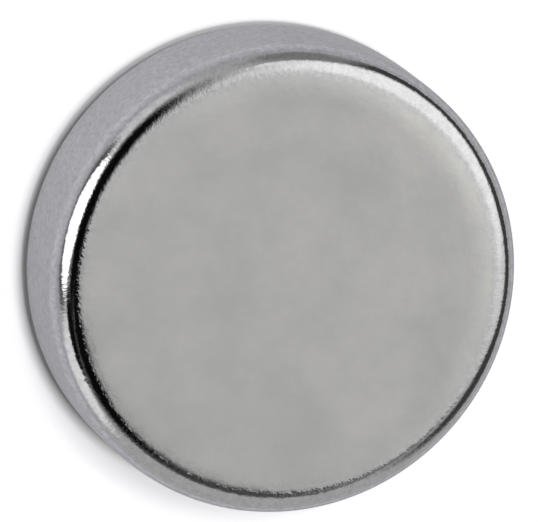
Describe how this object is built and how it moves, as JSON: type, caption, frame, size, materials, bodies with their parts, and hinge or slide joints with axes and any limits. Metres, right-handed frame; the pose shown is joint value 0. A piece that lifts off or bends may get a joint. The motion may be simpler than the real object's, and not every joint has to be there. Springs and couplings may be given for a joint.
{
  "type": "disc magnet",
  "caption": "Flat round permanent magnet disc with tumbled, rounded edges and a bright nickel skin; clings to steel by a pole face or sits glued in a round pocket.",
  "frame": {"origin": "centre of the lower pole face, on the magnet's axis", "axes": "+Z along the magnet's axis, from the lower pole face to the upper one; X and Y are free, because the disc is round"},
  "size_m": [0.01, 0.01, 0.003],
  "materials": {
    "nickel_plating": "nickel plating over sintered magnet: satin pole faces and side, bright tumbled edges"
  },
  "bodies": {
    "root": {"disc_magnet": "nickel_plating"}
  },
  "joints": []
}
